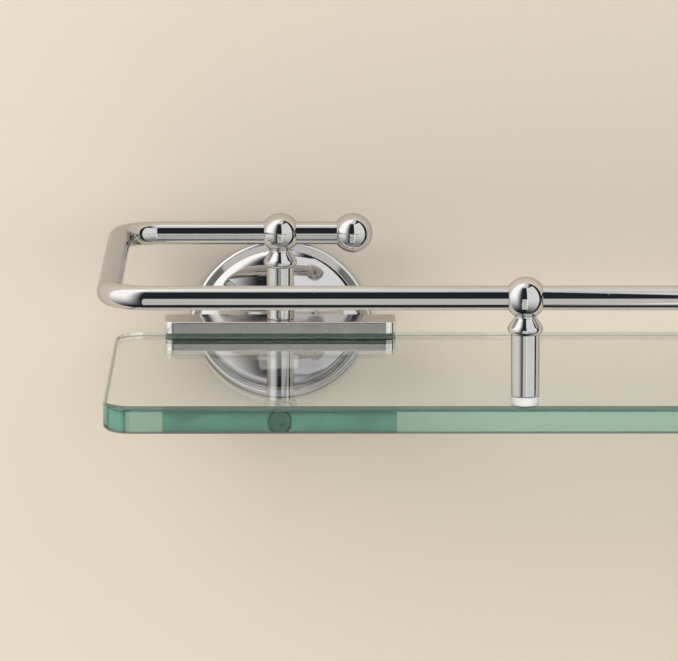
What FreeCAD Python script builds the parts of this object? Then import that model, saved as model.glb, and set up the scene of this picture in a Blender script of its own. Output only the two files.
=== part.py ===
import FreeCAD, Part
import math
import os
import re
import Sketcher

# Glass shelf on two wall brackets with a tubular gallery rail. Lengths are in millimetres.
# Frame: X along the shelf, Y towards the wall, Z up. The origin is on the wall surface,
# midway between the brackets, at the height of the middle of the glass.

V = FreeCAD.Vector
doc = FreeCAD.newDocument("GlassShelf")

# name: (value, meaning)
DIMENSIONS = {
    "glass_length": (500, "glass, along the wall"),
    "glass_depth": (120, "glass, front to back"),
    "glass_thickness": (8, "glass plate"),
    "glass_corner": (9, "plan corner radius of the glass"),
    "glass_arris": (0.8, "ground bevel on every long edge"),
    "glass_wall_gap": (25, "wall surface to back edge of the glass"),
    "bracket_spacing": (400, "centre to centre of the two brackets"),
    "rail_height": (30.75, "top of the glass to rail centreline"),
    "rail_radius": (3.5, "outside of the tube"),
    "rail_wall": (1, "tube wall"),
    "rail_bend": (12, "centreline radius of the bends"),
    "rail_front_inset": (3.5, "front edge of the glass to rail centreline"),
    "rail_side_inset": (1.7, "end of the glass to rail centreline"),
    "rail_joint_offset": (2.5, "front ball centre to the tube joint, towards the middle"),
    "rail_joint_gap": (0.2, "gap between the two tube ends"),
    "pin_radius": (2.45, "joint pin inside the tubes"),
    "pin_length": (24, "joint pin"),
    "pin_chamfer": (0.4, "end chamfer of the joint pin"),
    "ball_radius": (6, "balls on the posts and at the rail ends"),
    "bore_slack": (0.05, "radial clearance of a tube or screw in its bore"),
    "neck_radius": (3.1, "narrow part under the ball"),
    "neck_drop": (5.5, "ball centre to the lower end of the neck"),
    "collar_radius": (4.75, "wide end of the cone under the neck"),
    "collar_drop": (7.85, "ball centre to the wide end of the cone"),
    "collar_round": (1.7, "rounding radius of the collar bead"),
    "collar_end_drop": (10.35, "ball centre to the start of the plain post"),
    "post_radius": (4.1, "plain part of the posts"),
    "post_chamfer": (0.3, "edge break at the bottom of the posts"),
    "front_post_inset": (70.5, "bracket centre to front post, towards the middle"),
    "end_ball_offset": (22, "bracket centre to end ball, towards the middle"),
    "end_ball_stop": (1, "ball centre to the end of the tube in it"),
    "post_axis_gap": (27, "wall surface to the axis of the bracket posts"),
    "foot_height": (2.5, "nylon foot between glass and front post"),
    "foot_radius": (4.05, "nylon foot"),
    "foot_round": (0.4, "rounded lower rim of the foot"),
    "spigot_radius": (2.5, "spigot of the foot"),
    "spigot_length": (6, "spigot of the foot"),
    "spigot_bore_depth": (6.5, "bore for the spigot"),
    "clamp_length": (70, "channel, along the wall"),
    "clamp_depth": (14, "channel, front to back"),
    "clamp_lip": (3.5, "thickness of the two lips"),
    "clamp_web": (4, "thickness of the web"),
    "clamp_corner": (3, "plan corner radius of the lips"),
    "clamp_back_corner": (1.2, "plan corner radius at the back of the channel"),
    "clamp_edge": (0.4, "rounding of the visible channel edges"),
    "clamp_back_gap": (20, "wall surface to the back of the channel"),
    "pad_thickness": (1, "pads between lips and glass"),
    "pad_length": (69, "pads, along the wall"),
    "pad_depth": (9, "pads, front to back"),
    "pad_corner": (2.5, "plan corner radius of the pads"),
    "pad_setback": (0.4, "front of the lips to the front of the pads"),
    "screw_radius": (2, "M4 screws and studs"),
    "screw_head_radius": (3.5, "head of the clamp screw"),
    "screw_head_height": (2.6, "head of the clamp screw"),
    "screw_head_round": (0.5, "rounded rim of the head"),
    "screw_head_bore": (3.8, "radius of the recess for the head"),
    "screw_head_sink": (2.8, "depth of the recess in the web"),
    "screw_shank": (19.4, "clamp screw under its head"),
    "screw_socket": (1.45, "corner radius of the hexagon socket"),
    "screw_socket_depth": (1.4, "hexagon socket"),
    "stud_length": (9.6, "stud between lip and bracket post"),
    "stud_sink": (3.4, "part of the stud that is in the lip"),
    "stud_bore_depth": (6.6, "bore in the bracket post"),
    "grub_length": (3.4, "clamp grub screws"),
    "grub_spread": (44, "between the two clamp grub screws"),
    "grub_axis_gap": (29.5, "wall surface to the clamp grub screws"),
    "small_grub_radius": (1.5, "M3 grub screws in the balls"),
    "small_grub_length": (2, "M3 grub screws in the balls"),
    "small_socket": (0.87, "corner radius of the M3 hexagon socket"),
    "small_socket_depth": (1.1, "M3 hexagon socket"),
    "rose_radius": (28, "wall rose"),
    "rose_rim": (1, "height of the rim at the wall"),
    "rose_bevel_width": (0.7, "bevel outside the flat ring, across"),
    "rose_bevel_height": (0.5, "bevel outside the flat ring, along the axis"),
    "rose_ring_radius": (25.2, "inside of the flat ring"),
    "rose_ring_height": (1.5, "wall to the inside of the flat ring"),
    "rose_shoulder_radius": (23, "inside of the shoulder, where the dome starts"),
    "rose_shoulder_height": (3.2, "wall to the inside of the shoulder"),
    "rose_shoulder_round": (7.6, "radius of the shoulder"),
    "rose_dome_round": (52, "radius of the domed front"),
    "rose_height": (8.3, "wall to the front of the rose"),
    "rose_hole": (5.2, "central hole of the rose"),
    "rose_skin": (1, "thickness of the rose"),
    "plate_radius": (18, "wall plate"),
    "plate_thickness": (2.5, "wall plate"),
    "boss_radius": (8, "boss of the wall plate"),
    "boss_height": (5.5, "wall to the front of the boss"),
    "wall_screw_radius": (2.25, "holes for the wall screws"),
    "wall_screw_spacing": (25, "between the two wall screws of one bracket"),
    "spacer_radius": (6.5, "bracket neck in front of the rose"),
    "spacer_spigot": (5, "bracket neck where it passes through the rose"),
    "spacer_round": (0.5, "edge break of the bracket neck"),
}

sheet = doc.addObject("Spreadsheet::Sheet", "Dimensions")
for row, (alias, (value, meaning)) in enumerate(DIMENSIONS.items(), start=1):
    sheet.set(f"A{row}", meaning)
    sheet.set(f"B{row}", str(value))
    sheet.setAlias(f"B{row}", alias)
doc.recompute()

# Positions that several pieces share, as expressions over the sheet.
GLASS_TOP = "glass_thickness / 2"
RAIL_Z = f"({GLASS_TOP} + rail_height)"
GLASS_BACK_Y = "(0 - glass_wall_gap)"
GLASS_FRONT_Y = "(0 - glass_wall_gap - glass_depth)"
RAIL_FRONT_Y = f"({GLASS_FRONT_Y} + rail_front_inset)"
RAIL_BACK_Y = "(0 - post_axis_gap)"
BRACKET_X = "(bracket_spacing / 2)"
FRONT_POST_X = "(bracket_spacing / 2 - front_post_inset)"
END_BALL_X = "(bracket_spacing / 2 - end_ball_offset)"
RAIL_SIDE_X = "(glass_length / 2 - rail_side_inset)"
JOINT_X = f"({FRONT_POST_X} - rail_joint_offset)"
CLAMP_TOP = f"({GLASS_TOP} + pad_thickness + clamp_lip)"
SIDES = {"left": -1, "right": 1}
ALIAS = re.compile(r"(?<![\w.])(" + "|".join(DIMENSIONS) + r")(?!\w)")
SAME_PLACE = 1e-4
sub_parts = []


def bind(obj, path, expression):
    """Bind a property to an expression in which the sheet's aliases are written bare."""
    obj.setExpression(path, with_sheet_name(expression))


def with_sheet_name(expression):
    return ALIAS.sub(r"Dimensions.\1", expression)


def value_of(expression):
    return float(sheet.evalExpression(with_sheet_name(expression)))


def place(obj, x="0", y="0", z="0"):
    for axis, expression in zip("xyz", (x, y, z)):
        bind(obj, f"Placement.Base.{axis}", expression)
    sub_parts.append(obj)
    return obj


def new_body(label):
    body = doc.addObject("PartDesign::Body", label)
    body.Label = label
    return body


def new_sketch(body, name, plane, offset=None):
    """A sketch on one of the body's own origin planes, moved along the plane's normal."""
    sketch = body.newObject("Sketcher::SketchObject", name)
    face = next(f for f in body.Origin.OriginFeatures if f.Role == plane)
    sketch.AttachmentSupport = [(face, "")]
    sketch.MapMode = "FlatFace"
    if offset is not None:
        bind(sketch, "AttachmentOffset.Base.z", offset)
    doc.recompute()
    return sketch


def fix(sketch, kind, geometry, point, expression):
    index = sketch.addConstraint(Sketcher.Constraint(kind, geometry, point, value_of(expression)))
    bind(sketch, f"Constraints[{index}]", expression)


def fix_point(sketch, geometry, point, at):
    fix(sketch, "DistanceX", geometry, point, at[0])
    fix(sketch, "DistanceY", geometry, point, at[1])


def arc_between(start, end, radius):
    """The minor arc from start to end. A positive radius turns left, a negative one right."""
    chord = end - start
    half = chord.Length / 2
    normal = V(-chord.y, chord.x, 0).normalize()
    rise = math.sqrt(max(radius * radius - half * half, 0.0))
    centre = start + chord * 0.5 + normal * math.copysign(rise, radius)
    middle = centre + (start + chord * 0.5 - centre).normalize() * abs(radius)
    return Part.Arc(start, middle, end)


def add_outline(sketch, points, arcs=None, closed=True):
    """Draw lines, or arcs where arcs[i] gives a signed radius for the edge after point i."""
    arcs = arcs or {}
    at = [V(value_of(h), value_of(v), 0) for h, v in points]
    count = len(points) if closed else len(points) - 1
    edges = []
    for i in range(count):
        start, end = at[i], at[(i + 1) % len(at)]
        radius = value_of(arcs[i]) if i in arcs else 0.0
        shape = arc_between(start, end, radius) if radius else Part.LineSegment(start, end)
        edges.append(sketch.addGeometry(shape))
    # an arc runs anticlockwise in a sketch, so its first end is the path's end where it turns right
    ends = [(2, 1) if i in arcs and value_of(arcs[i]) < 0 else (1, 2) for i in range(count)]
    for i in range(count):
        fix_point(sketch, edges[i], ends[i][0], points[i])
        if i + 1 < count or closed:
            j = (i + 1) % count
            link = Sketcher.Constraint("Coincident", edges[i], ends[i][1], edges[j], ends[j][0])
            sketch.addConstraint(link)
        else:
            fix_point(sketch, edges[i], ends[i][1], points[i + 1])
        if i in arcs:
            index = sketch.addConstraint(Sketcher.Constraint("Radius", edges[i], abs(value_of(arcs[i]))))
            bind(sketch, f"Constraints[{index}]", f"abs({arcs[i]})")
    doc.recompute()


def add_circle(sketch, at, radius):
    centre = V(value_of(at[0]), value_of(at[1]), 0)
    index = sketch.addGeometry(Part.Circle(centre, V(0, 0, 1), value_of(radius)))
    centre_point = 3
    fix_point(sketch, index, centre_point, at)
    constraint = sketch.addConstraint(Sketcher.Constraint("Radius", index, value_of(radius)))
    bind(sketch, f"Constraints[{constraint}]", radius)


def add_rounded_rectangle(sketch, x0, x1, y0, y1, radius):
    """A rectangle of signed expressions with all four corners rounded."""
    points = [
        (f"{x0} + {radius}", y0), (f"{x1} - {radius}", y0),
        (x1, f"{y0} + {radius}"), (x1, f"{y1} - {radius}"),
        (f"{x1} - {radius}", y1), (f"{x0} + {radius}", y1),
        (x0, f"{y1} - {radius}"), (x0, f"{y0} + {radius}"),
    ]
    add_outline(sketch, points, {i: radius for i in (1, 3, 5, 7)})


def revolve(body, sketch, name="Turned"):
    turned = body.newObject("PartDesign::Revolution", name)
    turned.Profile = sketch
    turned.ReferenceAxis = (sketch, ["V_Axis"])
    turned.Angle = 360
    doc.recompute()
    return turned


def pad(body, sketch, length, name="Solid", midplane=False, reversed_way=False):
    solid = body.newObject("PartDesign::Pad", name)
    solid.Profile = sketch
    bind(solid, "Length", length)
    solid.Midplane = midplane
    solid.Reversed = reversed_way
    doc.recompute()
    return solid


def cut(body, name, plane, outlines, depth=None, offset=None, reversed_way=False):
    """Cut circles or closed outlines through the body, or to a depth along the plane's normal."""
    sketch = new_sketch(body, name + "Sketch", plane, offset)
    for outline in outlines:
        if len(outline) == 2:
            add_circle(sketch, *outline)
        else:
            add_outline(sketch, outline)
    doc.recompute()
    before = body.Shape.Volume
    pocket = body.newObject("PartDesign::Pocket", name)
    pocket.Profile = sketch
    if depth is None:
        pocket.Type = "ThroughAll"
        pocket.Midplane = True
    else:
        bind(pocket, "Length", depth)
        pocket.Reversed = reversed_way
    doc.recompute()
    if not body.Shape.Volume < before:
        raise RuntimeError(f"{body.Label}: {name} removed nothing")
    return pocket


def hexagon(centre_x, centre_y, radius):
    """The corners of a hexagon as expressions."""
    return [
        (f"{centre_x} + {radius} * {math.cos(turn * math.pi / 3):.6f}",
         f"{centre_y} + {radius} * {math.sin(turn * math.pi / 3):.6f}")
        for turn in range(6)
    ]


def round_edges(body, kind, chosen, size, name):
    """Fillet or chamfer the edges of the tip whose middle passes the test."""
    tip = body.Tip
    edges = []
    for number, edge in enumerate(tip.Shape.Edges, start=1):
        middle = edge.valueAt((edge.FirstParameter + edge.LastParameter) / 2)
        if chosen(middle):
            edges.append(f"Edge{number}")
    feature = body.newObject(f"PartDesign::{kind}", name)
    feature.Base = (tip, edges)
    bind(feature, "Radius" if kind == "Fillet" else "Size", size)
    doc.recompute()


def grub_screw(name, radius, length, socket, depth, turn):
    """A headless screw along its own axis, with a hexagon socket in the end at zero."""
    rod = doc.addObject("Part::Cylinder", name + "_rod")
    bind(rod, "Radius", f"{radius} - bore_slack")
    bind(rod, "Height", length)
    hexagonal = doc.addObject("Part::Prism", name + "_socket")
    hexagonal.Polygon = 6
    bind(hexagonal, "Circumradius", socket)
    bind(hexagonal, "Height", depth)
    screw = doc.addObject("Part::Cut", name)
    screw.Base = rod
    screw.Tool = hexagonal
    screw.Placement.Rotation = turn
    screw.Label = name
    return screw


def turned_post(label, end_drop, bottom_bore, bottom_depth):
    """A post with a ball, neck and collar. Its origin is the centre of the ball."""
    body = new_body(label)
    sketch = new_sketch(body, "Profile", "XZ_Plane")
    neck_start = "sqrt(ball_radius * ball_radius - neck_radius * neck_radius)"
    points = [
        ("0", "ball_radius"), ("neck_radius", f"0 - {neck_start}"),
        ("neck_radius", "0 - neck_drop"), ("collar_radius", "0 - collar_drop"),
        ("post_radius", "0 - collar_end_drop"), ("post_radius", f"post_chamfer - {end_drop}"),
        ("post_radius - post_chamfer", f"0 - {end_drop}"), ("0", f"0 - {end_drop}"),
    ]
    add_outline(sketch, points, {0: "0 - ball_radius", 3: "0 - collar_round"})
    revolve(body, sketch)
    cut(body, "RailBore", "YZ_Plane", [(("0", "0"), "rail_radius + bore_slack")])
    cut(body, "BottomBore", "XY_Plane", [(("0", "0"), bottom_bore)], bottom_depth,
        offset=f"0 - {end_drop}", reversed_way=True)
    cut(body, "GrubBore", "XZ_Plane", [(("0", "0"), "small_grub_radius")], "ball_radius")
    return body


def make_glass():
    body = new_body("glass_shelf")
    sketch = new_sketch(body, "Outline", "XY_Plane")
    half_x = "glass_length / 2"
    half_y = "glass_depth / 2"
    add_rounded_rectangle(sketch, f"0 - {half_x}", half_x, f"0 - {half_y}", half_y, "glass_corner")
    pad(body, sketch, "glass_thickness", midplane=True)
    face_height = value_of(GLASS_TOP)
    round_edges(body, "Chamfer", lambda p: abs(abs(p.z) - face_height) < SAME_PLACE, "glass_arris", "Arris")
    place(body, y=f"{GLASS_BACK_Y} - glass_depth / 2")


def make_rail_middle():
    body = new_body("rail_middle")
    sketch = new_sketch(body, "Section", "YZ_Plane")
    add_circle(sketch, ("0", "0"), "rail_radius")
    add_circle(sketch, ("0", "0"), "rail_radius - rail_wall")
    pad(body, sketch, f"2 * {JOINT_X} - rail_joint_gap", name="Tube", midplane=True)
    place(body, y=RAIL_FRONT_Y, z=RAIL_Z)


def make_rail_end(side, sign):
    """A bent tube from the joint at the front, round the end of the glass, to the end ball."""
    body = new_body(f"rail_end_{side}")
    section = new_sketch(body, "Section", "YZ_Plane")
    add_circle(section, ("0", "0"), "rail_radius")
    add_circle(section, ("0", "0"), "rail_radius - rail_wall")
    reach = f"({RAIL_SIDE_X} - {JOINT_X})"
    back = f"({RAIL_BACK_Y} - {RAIL_FRONT_Y})"
    finish = f"({END_BALL_X} - end_ball_stop - {JOINT_X})"
    path = [
        ("0", "0"), (f"{sign} * ({reach} - rail_bend)", "0"),
        (f"{sign} * {reach}", "rail_bend"), (f"{sign} * {reach}", f"{back} - rail_bend"),
        (f"{sign} * ({reach} - rail_bend)", back), (f"{sign} * {finish}", back),
    ]
    spine = new_sketch(body, "Path", "XY_Plane")
    bends = {1: f"{sign} * rail_bend", 3: f"{sign} * rail_bend"}
    add_outline(spine, path, bends, closed=False)
    tube = body.newObject("PartDesign::AdditivePipe", "Tube")
    tube.Profile = section
    tube.Spine = (spine, [f"Edge{n + 1}" for n in range(len(path) - 1)])
    doc.recompute()
    place(body, x=f"{sign} * {JOINT_X}", y=RAIL_FRONT_Y, z=RAIL_Z)


def make_joint_pin(side, sign):
    body = new_body(f"rail_joint_pin_{side}")
    sketch = new_sketch(body, "Section", "YZ_Plane")
    add_circle(sketch, ("0", "0"), "pin_radius")
    pad(body, sketch, "pin_length", name="Rod", midplane=True)
    end = value_of("pin_length / 2")
    round_edges(body, "Chamfer", lambda p: abs(abs(p.x) - end) < SAME_PLACE, "pin_chamfer", "Ends")
    place(body, x=f"{sign} * {JOINT_X}", y=RAIL_FRONT_Y, z=RAIL_Z)


def make_wall_plate(side, sign):
    """A disc with a threaded boss and two holes for wall screws, one above the other."""
    body = new_body(f"wall_plate_{side}")
    sketch = new_sketch(body, "Profile", "XY_Plane")
    add_outline(sketch, [
        ("screw_radius", "0"), ("plate_radius", "0"), ("plate_radius", "0 - plate_thickness"),
        ("boss_radius", "0 - plate_thickness"), ("boss_radius", "0 - boss_height"),
        ("screw_radius", "0 - boss_height"),
    ])
    revolve(body, sketch)
    half = "wall_screw_spacing / 2"
    holes = [(("0", f"{sign_of_hole} * {half}"), "wall_screw_radius") for sign_of_hole in (-1, 1)]
    cut(body, "WallScrewHoles", "XZ_Plane", holes)
    place(body, x=f"{sign} * {BRACKET_X}")


def make_rose(side, sign):
    """A hollow cover: bevelled rim, flat ring, shoulder and domed front with a central hole."""
    body = new_body(f"wall_rose_{side}")
    sketch = new_sketch(body, "Profile", "XY_Plane")
    points = [
        ("rose_radius", "0"), ("rose_radius", "0 - rose_rim"),
        ("rose_radius - rose_bevel_width", "0 - rose_rim - rose_bevel_height"),
        ("rose_ring_radius", "0 - rose_ring_height"),
        ("rose_shoulder_radius", "0 - rose_shoulder_height"),
        ("rose_hole", "0 - rose_height"),
        ("rose_hole", "rose_skin - rose_height"),
        ("rose_shoulder_radius - rose_skin", "rose_skin - rose_shoulder_height"),
        ("rose_shoulder_radius - rose_skin", "0"),
    ]
    add_outline(sketch, points, {3: "0 - rose_shoulder_round", 4: "0 - rose_dome_round",
                                 6: "rose_dome_round - rose_skin"})
    revolve(body, sketch)
    place(body, x=f"{sign} * {BRACKET_X}")


def make_bracket_neck(side, sign):
    """A turned spacer: its shoulder holds the rose, its spigot stands on the boss."""
    body = new_body(f"bracket_neck_{side}")
    sketch = new_sketch(body, "Profile", "XY_Plane")
    bore = "screw_radius + bore_slack"
    add_outline(sketch, [
        (bore, "0 - boss_height"), ("spacer_spigot", "0 - boss_height"),
        ("spacer_spigot", "0 - rose_height"), ("spacer_radius - spacer_round", "0 - rose_height"),
        ("spacer_radius", "0 - rose_height - spacer_round"),
        ("spacer_radius", "spacer_round - clamp_back_gap"),
        ("spacer_radius - spacer_round", "0 - clamp_back_gap"), (bore, "0 - clamp_back_gap"),
    ])
    revolve(body, sketch)
    place(body, x=f"{sign} * {BRACKET_X}")


def make_clamp_channel(side, sign):
    """A U-section bar. The web is at the back, the lips reach over and under the glass."""
    body = new_body(f"clamp_channel_{side}")
    sketch = new_sketch(body, "Section", "YZ_Plane")
    back = "0 - clamp_back_gap"
    front = "0 - clamp_back_gap - clamp_depth"
    web = "0 - clamp_back_gap - clamp_web"
    inner = f"({GLASS_TOP} + pad_thickness)"
    add_outline(sketch, [
        (back, f"0 - {CLAMP_TOP}"), (back, CLAMP_TOP), (front, CLAMP_TOP), (front, inner),
        (web, inner), (web, f"0 - {inner}"), (front, f"0 - {inner}"), (front, f"0 - {CLAMP_TOP}"),
    ])
    pad(body, sketch, "clamp_length", midplane=True)
    half = value_of("clamp_length / 2")
    top = value_of(CLAMP_TOP)
    for side_y, size, name in ((front, "clamp_corner", "LipCorners"),
                               (back, "clamp_back_corner", "BackCorners")):
        at_y = value_of(side_y)
        round_edges(body, "Fillet",
                    lambda p: abs(abs(p.x) - half) < SAME_PLACE and abs(p.y - at_y) < SAME_PLACE,
                    size, name)
    round_edges(body, "Fillet", lambda p: abs(abs(p.z) - top) < SAME_PLACE, "clamp_edge", "Edges")
    cut(body, "ScrewBore", "XZ_Plane", [(("0", "0"), "screw_radius + bore_slack")])
    cut(body, "HeadRecess", "XZ_Plane", [(("0", "0"), "screw_head_bore")],
        "screw_head_sink", offset="clamp_back_gap + clamp_web")
    cut(body, "StudBore", "XY_Plane", [(("0", RAIL_BACK_Y), "screw_radius")],
        "clamp_lip", offset=CLAMP_TOP)
    half_spread = "grub_spread / 2"
    bores = [((f"{way} * {half_spread}", "0 - grub_axis_gap"), "screw_radius") for way in (-1, 1)]
    cut(body, "GrubBores", "XY_Plane", bores, "clamp_lip", offset=f"0 - {CLAMP_TOP}",
        reversed_way=True)
    place(body, x=f"{sign} * {BRACKET_X}")


def make_clamp_screw(side, sign):
    """A low-head screw from the channel into the boss of the wall plate."""
    body = new_body(f"clamp_screw_{side}")
    sketch = new_sketch(body, "Profile", "XY_Plane")
    seat = "(screw_head_sink - clamp_back_gap - clamp_web)"
    shank = "screw_radius - bore_slack"
    add_outline(sketch, [
        ("0", f"{seat} - screw_head_height"), ("screw_head_radius", f"{seat} - screw_head_height"),
        ("screw_head_radius", seat), (shank, seat), (shank, f"{seat} + screw_shank"),
        ("0", f"{seat} + screw_shank"),
    ])
    revolve(body, sketch)
    head_front = value_of(f"{seat} - screw_head_height")
    rim = value_of("screw_head_radius")
    round_edges(body, "Fillet",
                lambda p: abs(p.y - head_front) < SAME_PLACE and abs(math.hypot(p.x, p.z) - rim) < SAME_PLACE,
                "screw_head_round", "HeadRim")
    cut(body, "Socket", "XZ_Plane", [hexagon("0", "0", "screw_socket")], "screw_socket_depth",
        offset=f"0 - ({seat} - screw_head_height)", reversed_way=False)
    place(body, x=f"{sign} * {BRACKET_X}")


def make_pad(side, sign, name, low_z):
    body = new_body(f"{name}_{side}")
    sketch = new_sketch(body, "Outline", "XY_Plane")
    half = "pad_length / 2"
    front = "(pad_setback - clamp_back_gap - clamp_depth)"
    add_rounded_rectangle(sketch, f"0 - {half}", half, front, f"{front} + pad_depth", "pad_corner")
    pad(body, sketch, "pad_thickness", name="Strip")
    place(body, x=f"{sign} * {BRACKET_X}", z=low_z)


def make_clamp_grub_screws(side, sign):
    """Two headless screws in the lower lip, sockets downwards, tips at the lower pad."""
    up = FreeCAD.Rotation()
    screws = []
    for letter, way in (("a", -1), ("b", 1)):
        screw = grub_screw(f"clamp_grub_{side}_{letter}", "screw_radius", "grub_length",
                           "screw_socket", "screw_socket_depth", up)
        bind(screw, "Placement.Base.x", f"{way} * grub_spread / 2")
        bind(screw, "Placement.Base.y", "0 - grub_axis_gap")
        screws.append(screw)
    group = doc.addObject("Part::Compound", f"clamp_grub_screws_{side}")
    group.Label = f"clamp_grub_screws_{side}"
    group.Links = screws
    place(group, x=f"{sign} * {BRACKET_X}", z=f"0 - {GLASS_TOP} - pad_thickness - grub_length")


def make_ball_grub_screw(side, sign, label, x, y):
    """A small headless screw in the back of a ball, tip on the tube, socket to the wall."""
    towards_front = FreeCAD.Rotation(V(1, 0, 0), 90)
    screw = grub_screw(f"{label}_{side}", "small_grub_radius", "small_grub_length",
                       "small_socket", "small_socket_depth", towards_front)
    place(screw, x=f"{sign} * {x}", y=f"{y} + rail_radius + small_grub_length", z=RAIL_Z)


def make_stud(side, sign):
    stud = doc.addObject("Part::Cylinder", f"post_stud_{side}")
    stud.Label = f"post_stud_{side}"
    bind(stud, "Radius", "screw_radius - bore_slack")
    bind(stud, "Height", "stud_length")
    place(stud, x=f"{sign} * {BRACKET_X}", y=RAIL_BACK_Y, z=f"{CLAMP_TOP} - stud_sink")


def make_end_ball(side, sign):
    """A ball with a blind bore for the end of the tube, open on the outboard side."""
    body = new_body(f"end_ball_{side}")
    sketch = new_sketch(body, "Profile", "XZ_Plane")
    top = V(0, value_of("ball_radius"), 0)
    outer = V(value_of("ball_radius"), 0, 0)
    arc = sketch.addGeometry(Part.Arc(top, outer, -top))
    line = sketch.addGeometry(Part.LineSegment(-top, top))
    first, second, centre = 1, 2, 3
    fix_point(sketch, arc, centre, ("0", "0"))
    fix_point(sketch, line, first, ("0", "0 - ball_radius"))
    sketch.addConstraint(Sketcher.Constraint("Coincident", arc, first, line, first))
    sketch.addConstraint(Sketcher.Constraint("Coincident", arc, second, line, second))
    sketch.addConstraint(Sketcher.Constraint("Vertical", line))
    doc.recompute()
    revolve(body, sketch)
    cut(body, "TubeBore", "YZ_Plane", [(("0", "0"), "rail_radius + bore_slack")],
        "ball_radius + end_ball_stop", offset=f"{-sign} * end_ball_stop", reversed_way=sign > 0)
    place(body, x=f"{sign} * {END_BALL_X}", y=RAIL_BACK_Y, z=RAIL_Z)


def make_front_foot(side, sign):
    """A nylon disc with a spigot that goes up into the front post."""
    body = new_body(f"front_foot_{side}")
    sketch = new_sketch(body, "Profile", "XZ_Plane")
    add_outline(sketch, [
        ("0", "0"), ("foot_radius - foot_round", "0"), ("foot_radius", "foot_round"),
        ("foot_radius", "foot_height"), ("spigot_radius", "foot_height"),
        ("spigot_radius", "foot_height + spigot_length"), ("0", "foot_height + spigot_length"),
    ], {1: "foot_round"})
    revolve(body, sketch)
    place(body, x=f"{sign} * {FRONT_POST_X}", y=RAIL_FRONT_Y, z=GLASS_TOP)


make_glass()
make_rail_middle()
for side, sign in SIDES.items():
    make_rail_end(side, sign)
    make_joint_pin(side, sign)
    make_wall_plate(side, sign)
    make_rose(side, sign)
    make_bracket_neck(side, sign)
    make_clamp_channel(side, sign)
    make_clamp_screw(side, sign)
    make_pad(side, sign, "glass_pad_top", GLASS_TOP)
    make_pad(side, sign, "glass_pad_bottom", f"0 - {GLASS_TOP} - pad_thickness")
    make_clamp_grub_screws(side, sign)
    make_stud(side, sign)
    post = turned_post(f"bracket_post_{side}", f"({RAIL_Z} - {CLAMP_TOP})",
                       "screw_radius", "stud_bore_depth")
    place(post, x=f"{sign} * {BRACKET_X}", y=RAIL_BACK_Y, z=RAIL_Z)
    make_ball_grub_screw(side, sign, "bracket_rail_screw", BRACKET_X, RAIL_BACK_Y)
    post = turned_post(f"front_post_{side}", "(rail_height - foot_height)",
                       "spigot_radius + bore_slack", "spigot_bore_depth")
    place(post, x=f"{sign} * {FRONT_POST_X}", y=RAIL_FRONT_Y, z=RAIL_Z)
    make_ball_grub_screw(side, sign, "front_rail_screw", FRONT_POST_X, RAIL_FRONT_Y)
    make_front_foot(side, sign)
    make_end_ball(side, sign)
doc.recompute()

for obj in doc.Objects:
    if {"Invalid", "Error"} & set(obj.State):
        raise RuntimeError(f"{obj.Label} did not rebuild: {obj.State}")
os.makedirs("parts", exist_ok=True)
for obj in sub_parts:
    if obj.Shape.isNull() or not obj.Shape.isValid():
        raise RuntimeError(f"{obj.Label} has no valid shape")
    obj.Shape.exportStep(f"parts/{obj.Label}.step")
print(len(sub_parts), "sub-parts written")
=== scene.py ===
import bmesh
import bpy
import math
from mathutils import Matrix, Vector


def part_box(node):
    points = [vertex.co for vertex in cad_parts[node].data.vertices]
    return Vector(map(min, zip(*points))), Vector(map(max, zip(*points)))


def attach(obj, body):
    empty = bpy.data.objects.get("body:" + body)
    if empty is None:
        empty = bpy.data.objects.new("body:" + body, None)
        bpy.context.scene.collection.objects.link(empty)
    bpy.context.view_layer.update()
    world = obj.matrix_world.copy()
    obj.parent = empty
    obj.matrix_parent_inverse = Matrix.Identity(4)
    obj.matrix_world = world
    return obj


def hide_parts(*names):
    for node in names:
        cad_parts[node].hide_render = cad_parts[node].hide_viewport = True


# Glass wall shelf with chromed fittings. Metres; -Y is the front, the wall is at Y = 0.
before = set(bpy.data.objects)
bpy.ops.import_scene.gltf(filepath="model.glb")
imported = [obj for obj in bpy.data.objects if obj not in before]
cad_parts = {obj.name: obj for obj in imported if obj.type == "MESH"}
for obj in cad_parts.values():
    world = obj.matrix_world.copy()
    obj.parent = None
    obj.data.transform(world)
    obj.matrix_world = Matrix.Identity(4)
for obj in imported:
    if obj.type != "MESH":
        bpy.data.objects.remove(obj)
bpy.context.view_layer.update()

MM = 0.001
ROOT = "root"
SIDES = {"left": -1, "right": 1}

# ---------------------------------------------------------------- sizes
AROUND = 128  # facets round a turned piece
HAIR = 0.02 * MM  # keeps two faces in contact from lying in one plane
SLACK = 0.05 * MM  # radial clearance of a bore

# Balls and turned posts. Drops are measured down from the ball's centre.
BALL_R = 6 * MM
END_SOCKET = 1.0 * MM  # the socket reaches this far past the centre of the end ball
END_TUBE = 1 * MM  # from the middle of the end ball's box out to the end of the tube
NECK_R = 3.1 * MM
NECK_DROP = 5.5 * MM
COLLAR_R = 4.75 * MM
COLLAR_DROP = 7.85 * MM
COLLAR_ROUND = 1.7 * MM
COLLAR_END = 10.35 * MM
POST_R = 4.1 * MM
EDGE = 0.3 * MM
STUD_BORE = 6.6 * MM
SPIGOT_BORE = 6.5 * MM

# Rail
TUBE_R = 3.5 * MM
TUBE_WALL = 1 * MM
BEND_R = 12 * MM

# Glass
ARRIS = 0.8 * MM
ARRIS_TILT = (0.2, 0.95)  # upright part of a face normal on the arris
GLASS_CORNER = 9 * MM

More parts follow.
